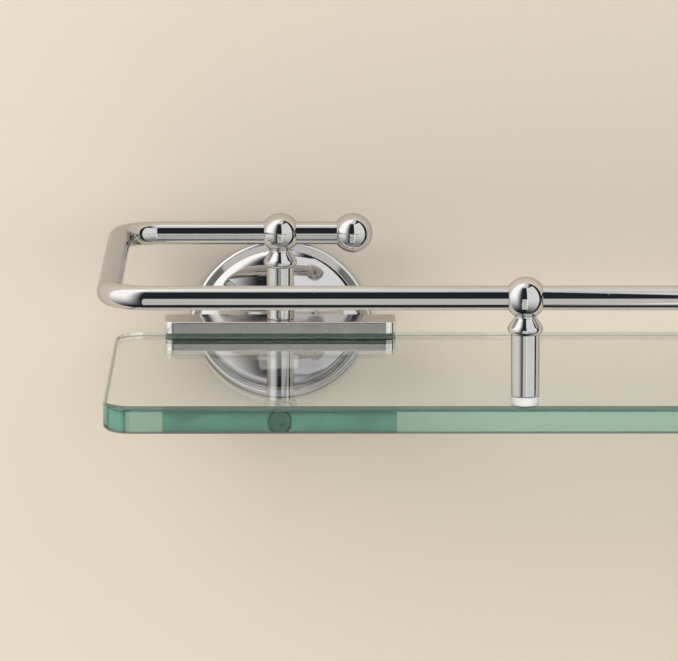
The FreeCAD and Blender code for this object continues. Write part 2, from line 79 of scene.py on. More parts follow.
# Wall rose, and the bracket neck in front of it
ROSE_RIM = 1 * MM
ROSE_BEVEL = (0.7 * MM, 0.5 * MM)
ROSE_SOFT = 0.15 * MM
RING_R = 25.2 * MM
RING_H = 1.5 * MM
SHOULDER_R = 23 * MM
SHOULDER_H = 3.2 * MM
SHOULDER_ROUND = 7.6 * MM
DOME_ROUND = 52 * MM
ROSE_HOLE = 5.2 * MM
ROSE_SKIN = 1 * MM
NECK_SPIGOT = 5 * MM
NECK_EDGE = 0.5 * MM

# Clamp and pads
WEB = 4 * MM
CLAMP_CORNER = 3 * MM
CLAMP_BACK_CORNER = 1.2 * MM
CLAMP_EDGE = 0.4 * MM
HEAD_BORE = 3.8 * MM
HEAD_SINK = 2.8 * MM
PAD_CORNER = 2.5 * MM
PAD_EDGE = 0.15 * MM
THROUGH = 1 * MM  # how far a cutter reaches past the face that it leaves by

# Screws
M4_R = 2 * MM
SCREW_HEAD_R = 3.5 * MM
SCREW_HEAD_H = 2.6 * MM
SCREW_TIP = 0.4 * MM
SCREW_SOFT = 0.08 * MM
SOCKET_R = 1.45 * MM
SOCKET_DEPTH = 1.4 * MM
SMALL_R = 1.5 * MM
SMALL_SOCKET_R = 0.87 * MM
SMALL_SOCKET_DEPTH = 1.1 * MM

# Foot
FOOT_R = 4.05 * MM
FOOT_H = 2.5 * MM
FOOT_ROUND = 0.4 * MM
FOOT_SIDE = 1.2 * MM
SPIGOT_R = 2.5 * MM
SPIGOT_TIP = 0.3 * MM


# ---------------------------------------------------------------- mesh helpers
def middle(node):
    low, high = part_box(node)
    return (low + high) / 2


def finish_mesh(name, bm, sharp_deg=32.0):
    """An object from a bmesh, smooth apart from edges sharper than the angle."""
    bmesh.ops.remove_doubles(bm, verts=bm.verts, dist=1e-7)
    bmesh.ops.recalc_face_normals(bm, faces=bm.faces)
    mesh = bpy.data.meshes.new(name)
    bm.to_mesh(mesh)
    bm.free()
    for polygon in mesh.polygons:
        polygon.use_smooth = True
    mesh.set_sharp_from_angle(angle=math.radians(sharp_deg))
    obj = bpy.data.objects.new(name, mesh)
    bpy.context.scene.collection.objects.link(obj)
    return obj


def arc(centre, radius, start_deg, end_deg, steps):
    """Points on an arc in a profile plane, both ends included."""
    points = []
    for i in range(steps + 1):
        turn = math.radians(start_deg + (end_deg - start_deg) * i / steps)
        points.append((centre[0] + radius * math.cos(turn), centre[1] + radius * math.sin(turn)))
    return points


def arc_through(start, end, radius, steps, side):
    """Points on the minor arc between two profile points; side picks the bulge, +1 or -1."""
    a, b = Vector(start), Vector(end)
    chord = b - a
    normal = Vector((-chord.y, chord.x)).normalized() * side
    rise = math.sqrt(max(radius ** 2 - (chord.length / 2) ** 2, 0.0))
    centre = (a + b) / 2 - normal * rise
    first = math.atan2(a.y - centre.y, a.x - centre.x)
    last = math.atan2(b.y - centre.y, b.x - centre.x)
    turn = (last - first + math.pi) % (2 * math.pi) - math.pi
    return [
        (centre.x + radius * math.cos(first + turn * i / steps),
         centre.y + radius * math.sin(first + turn * i / steps))
        for i in range(steps + 1)
    ]


def soften(points, size=0.12 * MM):
    """Replace each corner of a profile by a short bevel, as plating leaves it."""
    out = [points[0]]
    for before, at, after in zip(points, points[1:], points[2:]):
        b, p, a = Vector(before), Vector(at), Vector(after)
        into, away = p - b, a - p
        if into.length < 1e-9 or away.length < 1e-9 or into.angle(away) < math.radians(14):
            out.append(at)
            continue
        cut = min(size, into.length * 0.4, away.length * 0.4)
        start, end = p - into.normalized() * cut, p + away.normalized() * cut
        for t in (0.0, 0.25, 0.5, 0.75, 1.0):
            out.append(tuple(start * (1 - t) ** 2 + p * 2 * t * (1 - t) + end * t ** 2))
    out.append(points[-1])
    return out


def lathe(profile, origin, axis, closed=False, around=AROUND):
    """A bmesh turned about an axis through origin. Profile points are (radius, height)."""
    bm = bmesh.new()
    turn = axis.to_track_quat("Z", "Y").to_matrix().to_4x4()
    place = Matrix.Translation(origin) @ turn
    rings = []
    for radius, height in profile:
        if radius < 1e-7:
            rings.append([bm.verts.new(place @ Vector((0, 0, height)))])
            continue
        rings.append([
            bm.verts.new(place @ Vector((radius * math.cos(2 * math.pi * i / around),
                                         radius * math.sin(2 * math.pi * i / around), height)))
            for i in range(around)
        ])
    pairs = list(zip(rings, rings[1:])) + ([(rings[-1], rings[0])] if closed else [])
    for one, two in pairs:
        for i in range(around):
            j = (i + 1) % around
            if len(one) == 1 and len(two) == 1:
                break
            if len(one) == 1:
                bm.faces.new((one[0], two[j], two[i]))
            elif len(two) == 1:
                bm.faces.new((one[i], one[j], two[0]))
            else:
                bm.faces.new((one[i], one[j], two[j], two[i]))
    return bm


def flatten_shading(obj):
    """Let the large flat faces keep their own normals beside rounded edges."""
    modifier = obj.modifiers.new("weighted", "WEIGHTED_NORMAL")
    modifier.keep_sharp = True
    modifier.weight = 100
    return obj


def rod(radius, start, end, sides=64, turn=0.0):
    """A closed cutter along a straight line."""
    direction = end - start
    bm = bmesh.new()
    bmesh.ops.create_cone(bm, cap_ends=True, segments=sides, radius1=radius, radius2=radius,
                          depth=direction.length)
    matrix = direction.to_track_quat("Z", "Y").to_matrix().to_4x4()
    bmesh.ops.transform(bm, matrix=Matrix.Translation((start + end) / 2) @ matrix
                        @ Matrix.Rotation(turn, 4, "Z"), verts=bm.verts)
    return bm


def carve(obj, cutters, sharp_deg=32.0):
    """Cut closed meshes out of an object, for good."""
    tools = []
    for i, bm in enumerate(cutters):
        tool = finish_mesh(f"{obj.name}_cutter_{i}", bm)
        modifier = obj.modifiers.new(f"cut_{i}", "BOOLEAN")
        modifier.operation = "DIFFERENCE"
        modifier.solver = "EXACT"
        modifier.object = tool
        tools.append(tool)
    depsgraph = bpy.context.evaluated_depsgraph_get()
    mesh = bpy.data.meshes.new_from_object(obj.evaluated_get(depsgraph))
    obj.modifiers.clear()
    obj.data = mesh
    mesh.name = obj.name
    for polygon in mesh.polygons:
        polygon.use_smooth = True
    mesh.set_sharp_from_angle(angle=math.radians(sharp_deg))
    for tool in tools:
        bpy.data.objects.remove(tool)
    return obj


def rounded_outline(x0, x1, y0, y1, corners, steps=16, guard=0.15 * MM):
    """Points round a rectangle; corners are radii in the order front-right, back-right,
    back-left, front-left. A guard point beside each arc keeps the straight faces flat."""
    spec = [
        ((x1, y0), (-1, 1), -90, corners[0]), ((x1, y1), (-1, -1), 0, corners[1]),
        ((x0, y1), (1, -1), 90, corners[2]), ((x0, y0), (1, 1), 180, corners[3]),
    ]
    points = []
    for (cx, cy), (sx, sy), start, radius in spec:
        if radius <= 0:
            points.append((cx, cy))
            continue
        centre = (cx + sx * radius, cy + sy * radius)
        ring = arc(centre, radius, start, start + 90, steps)
        first, last = Vector(ring[0]), Vector(ring[-1])
        enter = Vector((-math.sin(math.radians(start)), math.cos(math.radians(start))))
        leave = Vector((-math.sin(math.radians(start + 90)), math.cos(math.radians(start + 90))))
        points.append(tuple(first - enter * guard))
        points += ring
        points.append(tuple(last + leave * guard))
    return points


def slab(x0, x1, y0, y1, z0, z1, corners, bevel, round_steps=1, corner_steps=16):
    """A plate with rounded plan corners and a bevelled or rounded outline on both faces."""
    layers = []
    for i in range(round_steps + 1):
        t = math.radians(90 * i / round_steps)
        layers.append((bevel * (1 - math.sin(t)), z0 + bevel * (1 - math.cos(t))))
    layers += [(inset, z0 + z1 - z) for inset, z in reversed(layers)]
    bm = bmesh.new()
    rings = []
    for inset, z in layers:
        radii = [max(r - inset, 0) if r > 0 else 0 for r in corners]
        outline = rounded_outline(x0 + inset, x1 - inset, y0 + inset, y1 - inset, radii,
                                  corner_steps)
        rings.append([bm.verts.new((x, y, z)) for x, y in outline])
    count = len(rings[0])
    for low, high in zip(rings, rings[1:]):
        for i in range(count):
            j = (i + 1) % count
            bm.faces.new((low[i], low[j], high[j], high[i]))
    bm.faces.new(rings[-1])
    bm.faces.new(list(reversed(rings[0])))
    return bm


def sweep_tube(path, outer, inner, around=72):
    """A closed hollow tube along points that lie in a horizontal plane."""
    bm = bmesh.new()
    up = Vector((0, 0, 1))
    rings = []
    for i, point in enumerate(path):
        ahead = path[min(i + 1, len(path) - 1)]
        behind = path[max(i - 1, 0)]
        side = (ahead - behind).normalized().cross(up)
        pair = []
        for radius in (outer, inner):
            pair.append([
                bm.verts.new(point + side * radius * math.cos(2 * math.pi * k / around)
                             + up * radius * math.sin(2 * math.pi * k / around))
                for k in range(around)
            ])
        rings.append(pair)
    for one, two in zip(rings, rings[1:]):
        for wall in (0, 1):
            for k in range(around):
                m = (k + 1) % around
                bm.faces.new((one[wall][k], one[wall][m], two[wall][m], two[wall][k]))
    for outside, inside in (rings[0], rings[-1]):
        for k in range(around):
            m = (k + 1) % around
            bm.faces.new((outside[k], outside[m], inside[m], inside[k]))
    return bm


def piece(obj, slot, material, *nodes):
    """Put a finished piece on the body, in place of its CAD nodes."""
    obj.data.materials.clear()
    obj.data.materials.append(material)
    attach(obj, ROOT)
    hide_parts(*nodes)
    return obj


# ---------------------------------------------------------------- materials
def new_material(name):
    material = bpy.data.materials.new(name)
    material.use_nodes = True
    tree = material.node_tree
    shader = tree.nodes["Principled BSDF"]
    return material, tree, shader


def link(tree, output, target):
    tree.links.new(output, target)


def noise(tree, scale, detail=3.0, roughness=0.5, stretch=None, seed=0.0):
    """A noise texture in object coordinates, optionally stretched along the axes."""
    place = tree.nodes.new("ShaderNodeTexCoord")
    mapping = tree.nodes.new("ShaderNodeMapping")
    mapping.inputs["Scale"].default_value = stretch or (1, 1, 1)
    mapping.inputs["Location"].default_value = (seed, seed * 0.7, seed * 1.3)
    texture = tree.nodes.new("ShaderNodeTexNoise")
    texture.inputs["Scale"].default_value = scale
    texture.inputs["Detail"].default_value = detail
    texture.inputs["Roughness"].default_value = roughness
    link(tree, place.outputs["Object"], mapping.inputs["Vector"])
    link(tree, mapping.outputs["Vector"], texture.inputs["Vector"])
    return texture.outputs["Fac"]


def remap(tree, value, low, high, out_low, out_high):
    """A straight map from one range to another, held at both ends."""
    node = tree.nodes.new("ShaderNodeMapRange")
    node.inputs["From Min"].default_value = low
    node.inputs["From Max"].default_value = high
    node.inputs["To Min"].default_value = out_low
    node.inputs["To Max"].default_value = out_high
    link(tree, value, node.inputs["Value"])
    return node.outputs["Result"]


def colour_between(tree, value, dark, light):
    """Dark to light over the middle of the range, where most noise values lie."""
    node = tree.nodes.new("ShaderNodeValToRGB")
    node.color_ramp.elements[0].color = (*dark, 1)
    node.color_ramp.elements[1].color = (*light, 1)
    node.color_ramp.elements[0].position = 0.35
    node.color_ramp.elements[1].position = 0.65
    link(tree, value, node.inputs["Fac"])
    return node.outputs["Color"]


def maths(tree, operation, one, two=0.0):
    """One arithmetic step; each side is a number or another node's output."""
    node = tree.nodes.new("ShaderNodeMath")
    node.operation = operation
    for socket, value in zip(node.inputs, (one, two)):
        if isinstance(value, (int, float)):
            socket.default_value = value
        else:
            link(tree, value, socket)
    return node.outputs["Value"]


def bump(tree, shader, height, strength, distance):
    node = tree.nodes.new("ShaderNodeBump")
    node.inputs["Strength"].default_value = strength
    node.inputs["Distance"].default_value = distance
    link(tree, height, node.inputs["Height"])
    link(tree, node.outputs["Normal"], shader.inputs["Normal"])


def specks(tree, scale, size):
    """Sparse small dots, 1 inside a dot and 0 outside."""
    place = tree.nodes.new("ShaderNodeTexCoord")
    texture = tree.nodes.new("ShaderNodeTexVoronoi")
    texture.inputs["Scale"].default_value = scale
    link(tree, place.outputs["Object"], texture.inputs["Vector"])
    return remap(tree, texture.outputs["Distance"], size, size * 0.6, 0.0, 1.0)


CHROME_EDGE = (0.72, 0.71, 0.71)  # tint of a grazing reflection


def make_chrome(name, tint, polish, scratch_stretch, seed):
    """Bright plate: a faint haze, water marks, dust specks and fine polishing lines."""
    material, tree, shader = new_material(name)
    shader.inputs["Metallic"].default_value = 1.0
    shader.inputs["Specular Tint"].default_value = (*CHROME_EDGE, 1)
    haze = noise(tree, 90, 4, 0.6, seed=seed)
    marks = remap(tree, noise(tree, 380, 5, 0.7, seed=seed + 3), 0.60, 0.72, 0.0, 0.05)
    dots = specks(tree, 420, 0.10)
    base_rough = remap(tree, haze, 0.3, 0.7, polish * 0.6, polish * 1.6)
    dust = remap(tree, dots, 0.0, 1.0, 0.0, 0.18)
    rough = maths(tree, "ADD", maths(tree, "ADD", base_rough, marks), dust)
    link(tree, rough, shader.inputs["Roughness"])
    darker = tuple(c * 0.955 for c in tint)
    link(tree, colour_between(tree, haze, darker, tint), shader.inputs["Base Color"])
    lines = noise(tree, 1400, 2, 0.5, scratch_stretch, seed)
    bump(tree, shader, lines, 0.05, 0.0012 * MM)
    return material


def make_steel():
    material, tree, shader = new_material("zinc_plated_steel")
    shader.inputs["Metallic"].default_value = 1.0
    grain = noise(tree, 900, 4, 0.6, (1, 1, 6))
    cloud = noise(tree, 160, 3, 0.5, seed=5)
    link(tree, remap(tree, grain, 0.3, 0.7, 0.24, 0.42), shader.inputs["Roughness"])
    link(tree, colour_between(tree, cloud, (0.60, 0.60, 0.57), (0.74, 0.74, 0.72)),
         shader.inputs["Base Color"])
    bump(tree, shader, grain, 0.25, 0.01 * MM)
    return material


def make_nylon():
    material, tree, shader = new_material("white_nylon")
    shader.inputs["Subsurface Weight"].default_value = 0.25
    shader.inputs["Subsurface Radius"].default_value = (0.8 * MM, 0.7 * MM, 0.6 * MM)
    shader.inputs["Subsurface Scale"].default_value = 1.0
    shader.inputs["IOR"].default_value = 1.53
    cloud = noise(tree, 700, 3, 0.5)
    link(tree, colour_between(tree, cloud, (0.80, 0.80, 0.79), (0.87, 0.87, 0.86)),
         shader.inputs["Base Color"])
    rings = noise(tree, 900, 3, 0.5, (0.3, 0.3, 8))
    link(tree, remap(tree, rings, 0.3, 0.7, 0.36, 0.5), shader.inputs["Roughness"])
    bump(tree, shader, rings, 0.3, 0.02 * MM)
    return material


def make_pad():
    material, tree, shader = new_material("clear_pad")
    shader.inputs["Transmission Weight"].default_value = 0.85
    shader.inputs["IOR"].default_value = 1.45
    cloud = noise(tree, 500, 3, 0.5)
    link(tree, colour_between(tree, cloud, (0.54, 0.70, 0.56), (0.63, 0.78, 0.63)),
         shader.inputs["Base Color"])
    link(tree, remap(tree, cloud, 0.3, 0.7, 0.10, 0.22), shader.inputs["Roughness"])
    bump(tree, shader, cloud, 0.1, 0.003 * MM)
    return material


GLASS_DENSITY = 7.2
GLASS_COLOUR = (0.08, 0.60, 0.47)  # what the depth of the glass lets through
GLASS_SHADOW = (0.91, 0.935, 0.925)  # share of the light that passes each face


def make_glass(name, body, clear, low_rough, high_rough, depth):
    """Clear float glass with green absorption; a ground arris is rougher and part opaque."""
    material, tree, shader = new_material(name)
    shader.inputs["Transmission Weight"].default_value = clear
    shader.inputs["IOR"].default_value = 1.52
    shader.inputs["Base Color"].default_value = (*body, 1)
    smudge = noise(tree, 60, 5, 0.6)
    link(tree, remap(tree, smudge, 0.5, 0.75, low_rough, high_rough), shader.inputs["Roughness"])
    bump(tree, shader, smudge, 0.1, depth)
    path = tree.nodes.new("ShaderNodeLightPath")
    passing = tree.nodes.new("ShaderNodeBsdfTransparent")
    passing.inputs["Color"].default_value = (*GLASS_SHADOW, 1)
    mix = tree.nodes.new("ShaderNodeMixShader")
    link(tree, path.outputs["Is Shadow Ray"], mix.inputs["Fac"])
    link(tree, shader.outputs["BSDF"], mix.inputs[1])
    link(tree, passing.outputs["BSDF"], mix.inputs[2])
    link(tree, mix.outputs["Shader"], tree.nodes["Material Output"].inputs["Surface"])
    absorb = tree.nodes.new("ShaderNodeVolumeAbsorption")
    absorb.inputs["Color"].default_value = (*GLASS_COLOUR, 1)
    absorb.inputs["Density"].default_value = GLASS_DENSITY
    link(tree, absorb.outputs["Volume"], tree.nodes["Material Output"].inputs["Volume"])
    return material


CHROME_TINT = (0.69, 0.683, 0.688)
chrome_turned = make_chrome("chrome_turned", CHROME_TINT, 0.022, (1, 1, 9), 1.0)
chrome_tube = make_chrome("chrome_tube", CHROME_TINT, 0.022, (0.12, 1, 1), 2.0)
chrome_rose = make_chrome("chrome_rose", CHROME_TINT, 0.04, (1, 4, 1), 4.0)
chrome_clamp = make_chrome("chrome_clamp", (0.90, 0.875, 0.85), 0.10, (0.2, 1, 1), 6.0)
steel = make_steel()
nylon = make_nylon()
pad_plastic = make_pad()
glass_face = make_glass("glass_polished", (1, 1, 1), 1.0, 0.0, 0.006, 0.0005 * MM)
glass_arris = make_glass("glass_ground_arris", (0.86, 1.0, 0.95), 0.86, 0.06, 0.14, 0.004 * MM)


# ---------------------------------------------------------------- glass
def build_glass():
    low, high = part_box("glass_shelf")
    bm = slab(low.x, high.x, low.y, high.y, low.z, high.z, [GLASS_CORNER] * 4, ARRIS,
              corner_steps=28)
    obj = finish_mesh("glass_plate", bm)
    piece(obj, "glass", glass_face, "glass_shelf")
    obj.data.materials.append(glass_arris)
    for polygon in obj.data.polygons:
        if ARRIS_TILT[0] < abs(polygon.normal.z) < ARRIS_TILT[1]:
            polygon.material_index = 1


# ---------------------------------------------------------------- rail
def build_rail_middle():
    low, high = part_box("rail_middle")
    y, z = (low.y + high.y) / 2, (low.z + high.z) / 2
    count = 24
    path = [Vector((low.x + (high.x - low.x) * i / count, y, z)) for i in range(count + 1)]
    bm = sweep_tube(path, TUBE_R, TUBE_R - TUBE_WALL)
    piece(finish_mesh("rail_tube_middle", bm), "chrome", chrome_tube, "rail_middle")


def rail_end_path(side, sign):
    """The centreline from the joint, round the end of the glass, to the end ball."""
    node = f"rail_end_{side}"
    low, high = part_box(node)
    z = middle("rail_middle").z
    front = middle("rail_middle").y
    back = middle(f"end_ball_{side}").y
    joint_x = low.x if sign > 0 else high.x
    outer_x = sign * (max(abs(low.x), abs(high.x)) - TUBE_R)
    stop_x = middle(f"end_ball_{side}").x
    corner = BEND_R
    points = [Vector((joint_x, front, z))]
    steps = 30
    for k in range(1, 5):
        points.append(points[0].lerp(Vector((outer_x - sign * corner, front, z)), k / 5))
    for k in range(steps + 1):
        turn = math.radians(90 * k / steps)
        points.append(Vector((outer_x - sign * corner + sign * corner * math.sin(turn),
                              front + corner - corner * math.cos(turn), z)))
    run_start = Vector((outer_x, front + corner, z))
    run_end = Vector((outer_x, back - corner, z))
    points += [run_start.lerp(run_end, k / 6) for k in range(1, 6)]
    for k in range(steps + 1):
        turn = math.radians(90 * k / steps)
        points.append(Vector((outer_x - sign * corner + sign * corner * math.cos(turn),
                              back - corner + corner * math.sin(turn), z)))
    last = Vector((stop_x + sign * END_TUBE, back, z))
    points += [points[-1].lerp(last, k / 4) for k in range(1, 5)]
    return points


def build_rail_end(side, sign):
    bm = sweep_tube(rail_end_path(side, sign), TUBE_R, TUBE_R - TUBE_WALL)
    obj = finish_mesh(f"rail_tube_{side}", bm)
    piece(obj, "chrome", chrome_tube, f"rail_end_{side}")


# ---------------------------------------------------------------- turned posts
def post_profile(drop):
    """From the top of the ball to the foot of the post, heights below the ball centre."""
    neck_angle = math.degrees(math.asin(NECK_R / BALL_R))
    ball = arc((0, 0), BALL_R, 90, -90 + neck_angle, 72)
    ball[0] = (0.0, BALL_R)
    bead = arc_through((COLLAR_R, -COLLAR_DROP), (POST_R, -COLLAR_END), COLLAR_ROUND, 14, 1)
    rest = [
        (NECK_R, -NECK_DROP), *bead, (POST_R, -drop + EDGE), (POST_R - EDGE, -drop), (0.0, -drop),
    ]
    return ball + soften([ball[-1]] + rest)[1:]


def build_post(node, bottom_bore, bottom_depth):
    """A turned post, bored across for the rail, from below and behind for its fixings."""
    low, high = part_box(node)
    centre = Vector((middle(node).x, low.y + BALL_R, high.z - BALL_R))
    bm = lathe(post_profile(centre.z - low.z), centre, Vector((0, 0, 1)))
    obj = finish_mesh(node + "_turned", bm)
    reach = Vector((2 * BALL_R, 0, 0))
    foot = Vector((centre.x, centre.y, low.z))
    back = Vector((0, 2 * BALL_R, 0))
    carve(obj, [
        rod(TUBE_R + SLACK, centre - reach, centre + reach, 96),
        # Turned by half a spoke: corners that fall on the lathe's spokes leave the cut open.
        rod(bottom_bore, foot - Vector((0, 0, THROUGH)), foot + Vector((0, 0, bottom_depth)),
            turn=math.pi / AROUND),
        rod(SMALL_R, centre, centre + back),
    ])
    piece(obj, "chrome", chrome_turned, node)


def build_end_ball(side, sign):
    node = f"end_ball_{side}"
    low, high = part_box(node)
    centre = middle(node)
    centre.x = low.x + BALL_R if sign > 0 else high.x - BALL_R
    ball = arc((0, 0), BALL_R, 90, -90, 96)
    ball[0], ball[-1] = (0.0, BALL_R), (0.0, -BALL_R)
    obj = finish_mesh(node + "_turned", lathe(ball, centre, Vector((1, 0, 0))))
    inner = centre - Vector((sign * END_SOCKET, 0, 0))
    outer = centre + Vector((sign * 2 * BALL_R, 0, 0))
    carve(obj, [rod(TUBE_R + SLACK, inner, outer, 96)])
    piece(obj, "chrome", chrome_turned, node)


def build_foot(side):
    """The moulded disc between post and glass, with the spigot that enters the post."""
    node = f"front_foot_{side}"
    low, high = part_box(node)
    centre = middle(node)
    top = high.z - low.z
    rim = arc((FOOT_R - FOOT_ROUND, FOOT_ROUND), FOOT_ROUND, -90, 0, 8)
    profile = [(0.0, HAIR)] + [(r, max(h, HAIR)) for r, h in rim] + soften([
        (FOOT_R, FOOT_SIDE), (FOOT_R, FOOT_H - HAIR), (SPIGOT_R, FOOT_H - HAIR),
        (SPIGOT_R, top - SPIGOT_TIP), (SPIGOT_R - SPIGOT_TIP, top), (0.0, top)])
    bm = lathe(profile, Vector((centre.x, centre.y, low.z)), Vector((0, 0, 1)), around=96)
    piece(finish_mesh(node + "_moulded", bm), "nylon", nylon, node)


# ---------------------------------------------------------------- brackets
def build_rose(side):
    """The spun cover: rim, bevel, flat ring, shoulder and dome, hollow behind."""
    node = f"wall_rose_{side}"
    low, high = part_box(node)
    centre = Vector((middle(node).x, high.y, middle(node).z))
    radius = (high.z - low.z) / 2
    height = high.y - low.y
    shoulder = arc_through((RING_R, RING_H), (SHOULDER_R, SHOULDER_H), SHOULDER_ROUND, 12, -1)
    dome = arc_through((SHOULDER_R, SHOULDER_H), (ROSE_HOLE, height), DOME_ROUND, 64, -1)
    inner_edge = SHOULDER_R - ROSE_SKIN
    inner_dome = arc_through((ROSE_HOLE, height - ROSE_SKIN), (inner_edge, SHOULDER_H - ROSE_SKIN),
                             DOME_ROUND - ROSE_SKIN, 24, 1)
    rim = [
        (radius, 0.0), (radius, ROSE_RIM), (radius - ROSE_BEVEL[0], ROSE_RIM + ROSE_BEVEL[1]),
        (RING_R, RING_H), shoulder[1],
    ]
    loop = soften(rim, ROSE_SOFT) + shoulder[2:] + dome[1:] + inner_dome + [(inner_edge, 0.0)]
    bm = lathe(loop, centre, Vector((0, -1, 0)), closed=True, around=192)
    piece(finish_mesh(node + "_spun", bm, 40), "chrome", chrome_rose, node)


def build_neck(side):
    """The turned spacer from the rose to the clamp, with a spigot through the rose."""
    node = f"bracket_neck_{side}"
    low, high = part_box(node)
    axis = middle(node)
    rose_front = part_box(f"wall_rose_{side}")[0].y
    radius = (high.z - low.z) / 2
    length, shoulder = high.y - low.y, rose_front - low.y
    start = Vector((axis.x, low.y, axis.z))
    bore = M4_R + SLACK
    outline = [
        (bore, 0.0), (radius - NECK_EDGE, 0.0), (radius, NECK_EDGE),
        (radius, shoulder - NECK_EDGE), (radius - NECK_EDGE, shoulder),
        (NECK_SPIGOT, shoulder), (NECK_SPIGOT, length), (bore, length),
    ]
    bm = lathe(soften(outline), start, Vector((0, 1, 0)), closed=True)
    piece(finish_mesh(node + "_turned", bm), "chrome", chrome_turned, node)


def build_clamp(side):
    """The U-section bar, with rounded lip corners, screw recess and grub screw bores."""
    node = f"clamp_channel_{side}"
    x_mid = middle(f"wall_rose_{side}").x
    low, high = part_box(node)
    half = (high.x - low.x) / 2
    x0, x1 = x_mid - half, x_mid + half
    corners = [CLAMP_CORNER, CLAMP_BACK_CORNER, CLAMP_BACK_CORNER, CLAMP_CORNER]
    bm = slab(x0, x1, low.y, high.y, low.z, high.z, corners, CLAMP_EDGE, 4, 14)
    obj = finish_mesh(node + "_bar", bm, 25)
    glass_low, glass_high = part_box("glass_shelf")
    mid_z = (glass_low.z + glass_high.z) / 2
    slot_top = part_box(f"glass_pad_top_{side}")[1].z
    slot_bottom = 2 * mid_z - slot_top
    web_front = high.y - WEB
    slot = bmesh.new()
    bmesh.ops.create_cube(slot, size=1.0)
    size = Vector((2 * half + 4 * MM, web_front - low.y + 2 * MM, slot_top - slot_bottom))
    at = Vector((x_mid, web_front - size.y / 2, mid_z))
    bmesh.ops.transform(slot, matrix=Matrix.Translation(at) @ Matrix.Diagonal((*size, 1)),
                        verts=slot.verts)
    grub_low, grub_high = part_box(f"clamp_grub_screws_{side}")
    grub_y = (grub_low.y + grub_high.y) / 2
    stud = middle(f"post_stud_{side}")
    cutters = [
        slot,
        rod(M4_R + SLACK, Vector((x_mid, low.y - THROUGH, mid_z)),
            Vector((x_mid, high.y + THROUGH, mid_z))),
        rod(HEAD_BORE, Vector((x_mid, web_front - THROUGH, mid_z)),
            Vector((x_mid, web_front + HEAD_SINK, mid_z))),
        rod(M4_R, Vector((stud.x, stud.y, slot_top - THROUGH)),
            Vector((stud.x, stud.y, high.z + THROUGH))),
    ]
    for x in (grub_low.x + M4_R - SLACK, grub_high.x - M4_R + SLACK):
        cutters.append(rod(M4_R, Vector((x, grub_y, low.z - THROUGH)),
                           Vector((x, grub_y, slot_bottom + THROUGH))))
    flatten_shading(carve(obj, cutters, 25))
    piece(obj, "chrome", chrome_clamp, node)


def build_pads(side):
    """The two clear strips, one above the glass and one below it."""
    for level in ("top", "bottom"):
        node = f"glass_pad_{level}_{side}"
        low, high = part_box(node)
        bm = slab(low.x, high.x, low.y, high.y, low.z + HAIR, high.z - HAIR, [PAD_CORNER] * 4,
                  PAD_EDGE, 2, 8)
        piece(finish_mesh(node + "_strip", bm), "clear_pad", pad_plastic, node)


def screw_mesh(head_r, head_h, shank_r, length, base, axis, socket_r, socket_depth):
    """A turned screw whose head, or socket end, is at the base and faces against the axis."""
    edge = min(SCREW_TIP, head_r * 0.15)
    profile = [(0.0, 0.0), (head_r - edge, 0.0), (head_r, edge)]
    if head_h:
        profile += [(head_r, head_h), (shank_r, head_h)]
    profile += [(shank_r, length - SCREW_TIP), (shank_r - SCREW_TIP, length), (0.0, length)]
    bm = lathe(soften(profile, SCREW_SOFT), base, axis, around=64)
    cutter = rod(socket_r, base - axis * THROUGH, base + axis * socket_depth, 6)
    return bm, cutter


def build_screws(side):
    """The clamp screw, the two rail screws in the balls, and the pair under the clamp."""
    node = f"clamp_screw_{side}"
    low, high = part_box(node)
    centre = middle(node)
    base = Vector((centre.x, low.y, centre.z))
    bm, cutter = screw_mesh(SCREW_HEAD_R, SCREW_HEAD_H, M4_R - SLACK, high.y - low.y, base,
                            Vector((0, 1, 0)), SOCKET_R, SOCKET_DEPTH)
    obj = carve(finish_mesh(node + "_turned", bm), [cutter])
    piece(obj, "steel", steel, node)
    for ball in ("bracket", "front"):
        node = f"{ball}_rail_screw_{side}"
        low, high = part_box(node)
        centre = middle(node)
        base = Vector((centre.x, high.y, centre.z))
        bm, cutter = screw_mesh(SMALL_R - SLACK, 0, SMALL_R - SLACK, high.y - low.y, base,
                                Vector((0, -1, 0)), SMALL_SOCKET_R, SMALL_SOCKET_DEPTH)
        obj = carve(finish_mesh(node + "_turned", bm), [cutter])
        piece(obj, "steel", steel, node)
    node = f"clamp_grub_screws_{side}"
    low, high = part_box(node)
    made = []
    for x in (low.x + M4_R - SLACK, high.x - M4_R + SLACK):
        base = Vector((x, (low.y + high.y) / 2, low.z))
        bm, cutter = screw_mesh(M4_R - SLACK, 0, M4_R - SLACK, high.z - low.z, base,
                                Vector((0, 0, 1)), SOCKET_R, SOCKET_DEPTH)
        made.append(carve(finish_mesh(f"{node}_{len(made)}", bm), [cutter]))
    both = bmesh.new()
    for obj in made:
        both.from_mesh(obj.data)
        bpy.data.objects.remove(obj)
    piece(finish_mesh(node + "_pair", both), "steel", steel, node)


build_glass()
build_rail_middle()
for side, sign in SIDES.items():
    build_rail_end(side, sign)
    build_post(f"bracket_post_{side}", M4_R, STUD_BORE)
    build_post(f"front_post_{side}", SPIGOT_R + SLACK, SPIGOT_BORE)
    build_end_ball(side, sign)
    build_foot(side)
    build_rose(side)
    build_neck(side)
    build_clamp(side)
    build_pads(side)
    build_screws(side)

# Wall plates, joint pins and studs keep their CAD meshes and only get a material.
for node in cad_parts.values():
    if not node.hide_render:
        node.data.materials.clear()
        node.data.materials.append(steel)


